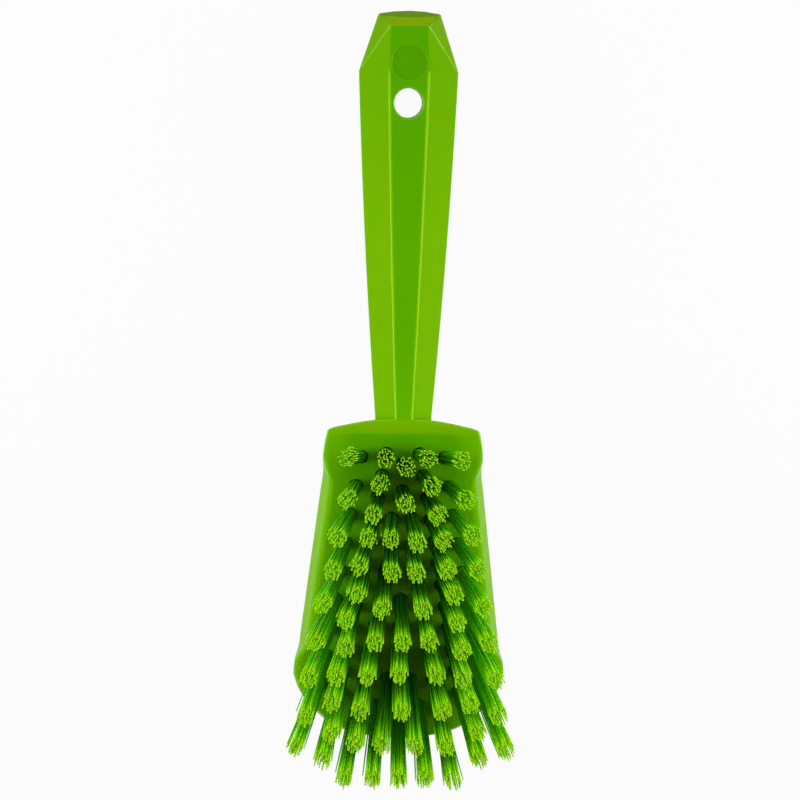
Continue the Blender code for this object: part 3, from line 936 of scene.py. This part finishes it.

# %% [markdown]
# ## Two finishes of the filaments
# The filaments are polyester, drawn round and a little translucent. The shafts are painted from bright
# lime near the ends to deep green near the roots: painted shade deep in the tuft, and a painted glow
# for light that enters a cut end and travels down it. The cut ends are painted paler still, and a faint
# emission adds a painted glow near the ends. The outer tufts have light all round them, so they are
# painted paler and glow along their whole length. Each filament carries two numbers in its mesh: how
# far a point has risen from the face, and a shade of its own, because no two catch the light alike.

# %% Filament finishes
OUTER_WIDENING = 0.053
OUTER_ACROSS = (0.0100, 0.0200)
PAINTED_GLOW_RISE = (0.70, 0.97)
# Painted shade near the roots, painted glow towards the ends.
PAINTED_SHAFT_STOPS = (
    (0.0, (0.020, 0.210, 0.0003, 1)), (0.55, (0.045, 0.380, 0.0004, 1)),
    (0.86, (0.120, 0.520, 0.0010, 1)), (0.95, (0.215, 0.600, 0.0020, 1)), (1.0, (0.290, 0.660, 0.0030, 1)),
)

# The emission is a painted glow, near the filaments' ends and along the outer tufts.
filament_finish = Finish(
    "lime_filament", IOR=1.57, Specular_IOR_Level=0.06, Specular_Tint=(1.0, 1.0, 0.04, 1.0), Roughness=0.38,
    Subsurface_Weight=0.9, Subsurface_Radius=(0.8, 1.0, 0.1), Subsurface_Scale=0.0014, Emission_Strength=0.09,
)
rise = filament_finish.node("ShaderNodeAttribute", {"attribute_name": "rise"}, output="Fac")
shade = filament_finish.node("ShaderNodeAttribute", {"attribute_name": "shade"}, output="Fac")
shaft = filament_finish.node("ShaderNodeValToRGB", {"stops": PAINTED_SHAFT_STOPS}, {"Fac": rise})
shades = filament_finish.blend(shade, (0.78, 0.84, 0.76, 1), (1.0, 1.0, 1.0, 1))
# Painted light: the outer tufts are painted paler and get a painted glow all along.
across, along, _ = filament_finish.axes()
outer = filament_finish.share(abs(across) + OUTER_WIDENING * along, *OUTER_ACROSS)
painted_outer_glow = filament_finish.blend(outer, (0.0, 0.0, 0.0, 1), (0.055, 0.360, 0.001, 1))
glow = filament_finish.node("ShaderNodeMapRange", sockets={"Value": rise, 1: PAINTED_GLOW_RISE[0], 2: PAINTED_GLOW_RISE[1]})
filament_finish.drive(
    Base_Color=filament_finish.tint(
        outer * (1 - glow), filament_finish.tint(1.0, shaft, shades), (1.7, 1.35, 1.0, 1),
    ),
    Emission_Color=filament_finish.blend(glow, painted_outer_glow, (0.26, 0.80, 0.004, 1)),
)

# The cut ends are painted paler than the shafts, for a painted glow; the mottle is their own.
tip_finish = Finish(
    "cut_filament_end", IOR=1.57, Roughness=0.50, Specular_IOR_Level=0.25, Specular_Tint=(1.0, 1.0, 0.12, 1),
)
mottle = tip_finish.noise(0.0004, detail=2.0)
tip_finish.drive(
    Base_Color=tip_finish.blend(mottle, (0.370, 0.660, 0.014, 1), (0.480, 0.780, 0.035, 1)),
    Normal=tip_finish.bump(mottle, 0.00004),
)
print("filament finishes ready")

# %% [markdown]
# ## One filament
# A filament is a thin round rod, cut square. Modelled once: a hexagon, extruded down to the bottom of
# the hole and up in five lengths, so that it can bow a little. There are nearly four thousand copies,
# so it has only a few dozen faces.

# %% Model the filament
FILAMENT_WIDTH = 0.00048
ROOT_DEPTH = 0.0092
BRISTLE_LENGTH = 0.0360
FILAMENT_STEPS = 5
clear_selection()
bpy.ops.mesh.primitive_circle_add(
    vertices=6, radius=FILAMENT_WIDTH / 2, fill_type="NGON", location=(0, 0, -ROOT_DEPTH),
)
filament = start_piece("filament")
bpy.ops.object.mode_set(mode="OBJECT")
bpy.ops.object.transform_apply(location=True)
bpy.ops.object.mode_set(mode="EDIT")
for length in (ROOT_DEPTH,) + (BRISTLE_LENGTH / FILAMENT_STEPS,) * FILAMENT_STEPS:
    bpy.ops.mesh.extrude_region_move(TRANSFORM_OT_translate={"value": (0, 0, length)})
bpy.ops.mesh.select_all(action="SELECT")
bpy.ops.mesh.normals_make_consistent(inside=False)
clear_selection()
filament.data.materials.append(filament_finish.material)
filament.data.materials.append(tip_finish.material)
for face in filament.data.polygons:
    face.use_smooth = abs(face.normal.z) < 0.5
    face.material_index = 1 if face.normal.z > 0.5 and face.center.z > 0 else 0
for name in ("rise", "shade"):
    filament.data.attributes.new(name, "FLOAT", "POINT")
print("filament faces:", len(filament.data.polygons))

# %% [markdown]
# ## A handful of tufts
# In its hole a tuft is packed as round rods pack, so the feet stand on a honeycomb. Above the face
# the bundle opens towards its tips, each filament with its own small bow and length, and about three
# strays stand out of every tuft. Eight such tufts are grown from copies of the filament.

# %% Grow the tufts
FOOT_PITCH = 0.00057
FOOT_RADIUS = 0.00222
FOOT_STEPS = range(-6, 7)
TIP_SPREAD = (1.42, 1.60)
TIP_GROWTH = (0.94, 1.06)
OPENING_POWER = 1.15
STRAY_SHARE = 0.06
STRAY_SCATTER = 0.0011
TIP_SCATTER = 0.00030
BOW = 0.00015
REACH_MEAN, REACH_SCATTER = -0.004, 0.011
LEAST_REACH, MOST_REACH = -0.040, 0.014
TUFT_KINDS = 8


def honeycomb(turn, shift):
    """Feet of a tuft: the honeycomb points that fit in the hole."""
    feet = []
    for i in FOOT_STEPS:
        for j in FOOT_STEPS:
            foot = Vector(((i + j / 2) * FOOT_PITCH, j * math.sqrt(0.75) * FOOT_PITCH)) + shift
            foot.rotate(Matrix.Rotation(turn, 2))
            if foot.length < FOOT_RADIUS:
                feet.append(foot)
    return feet


def grow_filament(foot, chance):
    """One bowed copy of the filament, from its foot to a tip of its own."""
    tip = Vector((foot.x * TIP_SPREAD[0], foot.y * TIP_SPREAD[1])) * chance.uniform(*TIP_GROWTH)
    scatter = STRAY_SCATTER if chance.random() < STRAY_SHARE else TIP_SCATTER
    tip += Vector((chance.gauss(0, scatter), chance.gauss(0, scatter)))
    bow = Vector((chance.gauss(0, BOW), chance.gauss(0, BOW)))
    reach = 1 + max(LEAST_REACH, min(MOST_REACH, chance.gauss(REACH_MEAN, REACH_SCATTER)))
    copy = add_object("filament_copy", filament.data.copy())
    tint = chance.random()
    turn = Matrix.Rotation(chance.uniform(0, math.tau), 3, "Z")
    for vertex, rise_value, shade_value in zip(
        copy.data.vertices, copy.data.attributes["rise"].data, copy.data.attributes["shade"].data
    ):
        share = max(vertex.co.z, 0) / BRISTLE_LENGTH
        centre = foot.lerp(tip, share ** OPENING_POWER) + bow * math.sin(math.pi * share)
        height = vertex.co.z * (reach if share else 1)
        vertex.co = turn @ Vector((vertex.co.x, vertex.co.y, 0)) + Vector((*centre, height))
        rise_value.value = share
        shade_value.value = tint
    return copy


def grow_tuft(kind):
    """Join the copies of one tuft, upright at the origin."""
    chance = random.Random(kind)
    shift = Vector((chance.uniform(-0.5, 0.5), chance.uniform(-0.5, 0.5))) * FOOT_PITCH
    copies = [grow_filament(foot, chance) for foot in honeycomb(chance.uniform(0, math.tau), shift)]
    return join(copies), len(copies)


tuft_kinds = []
for kind in range(TUFT_KINDS):
    tuft, count = grow_tuft(kind)
    tuft_kinds.append(tuft)
    print("tuft", kind, "has", count, "filaments")
bpy.data.objects.remove(filament, do_unlink=True)

# %% [markdown]
# ## Plant the tufts
# Every CAD node gets a piece of its own, so a tuft can be found by its name. A copy of one of the
# eight tufts is turned by chance, leaned along the fan and dropped in its hole. A row is one node, so
# its tufts are joined into one piece. No tuft follows the fan exactly, so each one's tips stand a
# little aside of it by chance, and those at the nose lean further out. Across is to the right and
# along is towards the handle.

# %% Leans of the tufts
LEAN_ACROSS = 0.0003
LEAN_ALONG = -0.0004
LEAN_SCATTER = 0.0005
NOSE_LEAN = 0.0015
NOSE_LEAN_START = 0.080
TURN_SCATTER = 0.12
leaning = random.Random(36)


def own_lean(root):
    """How far a tuft's tips stand beside their place on the fan, across and along."""
    nose_share = max(0, -root.y - NOSE_LEAN_START) / (BLOCK_LENGTH - NOSE_LEAN_START)
    across = leaning.gauss(LEAN_ACROSS, LEAN_SCATTER)
    along = leaning.gauss(LEAN_ALONG, LEAN_SCATTER) - NOSE_LEAN * nose_share
    return across, along


print("the nose's tufts lean further out by up to", NOSE_LEAN, "m")

# %% Plant and set down
planting = random.Random(68)
tuft_pieces = {}
for node, roots in tuft_places.items():
    planted = []
    for root in roots:
        mesh = planting.choice(tuft_kinds).data.copy()
        turn = planting.choice((0, math.pi)) + planting.gauss(0, TURN_SCATTER)
        sway = Matrix.Identity(4)
        sway[0][2], sway[1][2] = (aside / BRISTLE_LENGTH for aside in own_lean(root))
        mesh.transform(lean_from(root) @ sway @ Matrix.Rotation(turn, 4, "Z"))
        planted.append(add_object(node.replace("tuft", "filaments").replace("row", "row_filaments"), mesh))
    piece = join(planted)
    piece.data.name = piece.name
    set_down(piece)
    tuft_pieces[node] = piece
for tuft in tuft_kinds:
    bpy.data.objects.remove(tuft, do_unlink=True)
face_count = sum(len(piece.data.polygons) for piece in tuft_pieces.values())
print("pieces:", len(tuft_pieces), "faces:", face_count)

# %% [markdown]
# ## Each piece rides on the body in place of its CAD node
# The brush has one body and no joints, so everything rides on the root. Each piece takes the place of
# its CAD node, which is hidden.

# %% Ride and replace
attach(body, "root")
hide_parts("brush_body")
for node, piece in tuft_pieces.items():
    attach(piece, "root")
    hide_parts(node)
print("pieces riding:", 1 + len(tuft_pieces))

# %% [markdown]
# ## The camera
# The photograph was taken from almost straight above: the hanging hole shows no wall, so the
# camera looks straight down it. A camera model fitted to the 68 tips and 19 of the roots, read from
# the photo, gives the three turns and the aim point in the face's frame. The distance of a
# metre is assumed. The focal length, for a frame of 800 by 800, follows from it and from the scale
# on the face, 2.88 pixels per mm, which was set.

# %% Camera at the photograph's angle
CAMERA_AIM = Vector((-0.00150, 0.01241, 0))
CAMERA_DISTANCE = 1.0
SENSOR_WIDTH = 36
FOCAL_PIXELS = 2880
FRAME_PIXELS = 800
TILT, YAW, ROLL = math.radians(17.67), math.radians(1.30), math.radians(-1.15)
turned = (
    Matrix.Rotation(-YAW, 4, "Y") @ Matrix.Rotation(-TILT, 4, "X") @ Matrix.Rotation(-ROLL, 4, "Z")
)
camera_data = bpy.data.cameras.new("photo_camera")
camera_data.sensor_width = SENSOR_WIDTH
camera_data.lens = SENSOR_WIDTH * FOCAL_PIXELS / FRAME_PIXELS
camera = add_object("photo_camera", camera_data)
camera.matrix_world = (
    SET_DOWN @ Matrix.Translation(CAMERA_AIM) @ turned @ Matrix.Translation((0, 0, CAMERA_DISTANCE))
)
bpy.context.scene.camera = camera
print("camera at", tuple(round(c, 3) for c in camera.matrix_world.translation))

# %% [markdown]
# ## Floor, world and lamps
# The photograph has a plain white ground. The floor is a pale matt sheet that keeps the brush's
# shadow, lifted towards white only where the camera, a gloss or a transparency looks at it. Three
# wide lamps, left, right and high behind the camera, give the even light of a product studio.

# %% Floor
FLOOR_SIZE = 6.0
FLOOR_GAP = 0.0002
WHITE_SHARE = 0.94
RAYS = ("Camera", "Glossy", "Transmission")

clear_selection()
bpy.ops.mesh.primitive_plane_add(size=FLOOR_SIZE, location=(0, 0, -FLOOR_GAP))
floor = bpy.context.active_object
floor.name = "studio_floor"
paper = Finish("studio_paper", Roughness=0.9, Specular_IOR_Level=0.1)
fibre = paper.noise(0.004, detail=3.0)
paper.drive(Base_Color=paper.blend(fibre, (0.62, 0.62, 0.62, 1), (0.66, 0.66, 0.66, 1)))
rays = [paper.node("ShaderNodeLightPath", output=f"Is {kind} Ray") for kind in RAYS]
seen = paper.node("ShaderNodeMath", {"operation": "MAXIMUM"}, {0: rays[0], 1: rays[1]})
seen = paper.node("ShaderNodeMath", {"operation": "MAXIMUM"}, {0: seen, 1: rays[2]})
white = paper.node("ShaderNodeEmission", sockets={"Color": (1, 1, 1, 1), "Strength": 1.0})
matt = Socket(paper, paper.shader.outputs[0])
mixed = paper.node("ShaderNodeMixShader", sockets={0: WHITE_SHARE * seen, 1: matt, 2: white})
paper.tree.links.new(mixed.output, paper.tree.nodes["Material Output"].inputs["Surface"])
floor.data.materials.append(paper.material)
print("floor ready")

# %% World
AMBIENT = 0.10

world = bpy.data.worlds.new("studio_world")
bpy.context.scene.world = world
world.use_nodes = True
tree = world.node_tree
path = tree.nodes.new("ShaderNodeLightPath")
seen = path.outputs["Is Camera Ray"]
for kind in RAYS[1:]:
    either = tree.nodes.new("ShaderNodeMath")
    either.operation = "MAXIMUM"
    tree.links.new(seen, either.inputs[0])
    tree.links.new(path.outputs[f"Is {kind} Ray"], either.inputs[1])
    seen = either.outputs[0]
strength = tree.nodes.new("ShaderNodeMapRange")
strength.inputs["To Min"].default_value = AMBIENT
strength.inputs["To Max"].default_value = 1.0
tree.links.new(seen, strength.inputs["Value"])
background = tree.nodes["Background"]
background.inputs["Color"].default_value = (1, 1, 1, 1)
tree.links.new(strength.outputs["Result"], background.inputs["Strength"])
print("world ready")

# %% Lamps: name, place, width and power
LAMPS = (
    ("left_softbox", (-0.60, 0.06, 0.32), 0.50, 4.0),
    ("right_softbox", (0.60, 0.06, 0.32), 0.50, 4.0),
    ("top_softbox", (0.0, 0.55, 1.15), 0.80, 3.9),
)
for name, place, width, power in LAMPS:
    light = bpy.data.lights.new(name, "AREA")
    light.shape = "SQUARE"
    light.size = width
    light.energy = power
    lamp = add_object(name, light)
    lamp.location = place
    lamp.rotation_euler = (-Vector(place)).to_track_quat("-Z", "Y").to_euler()
bpy.context.scene.view_settings.view_transform = "Standard"
print("lamps:", len(LAMPS))

# %% Finish
clear_selection()
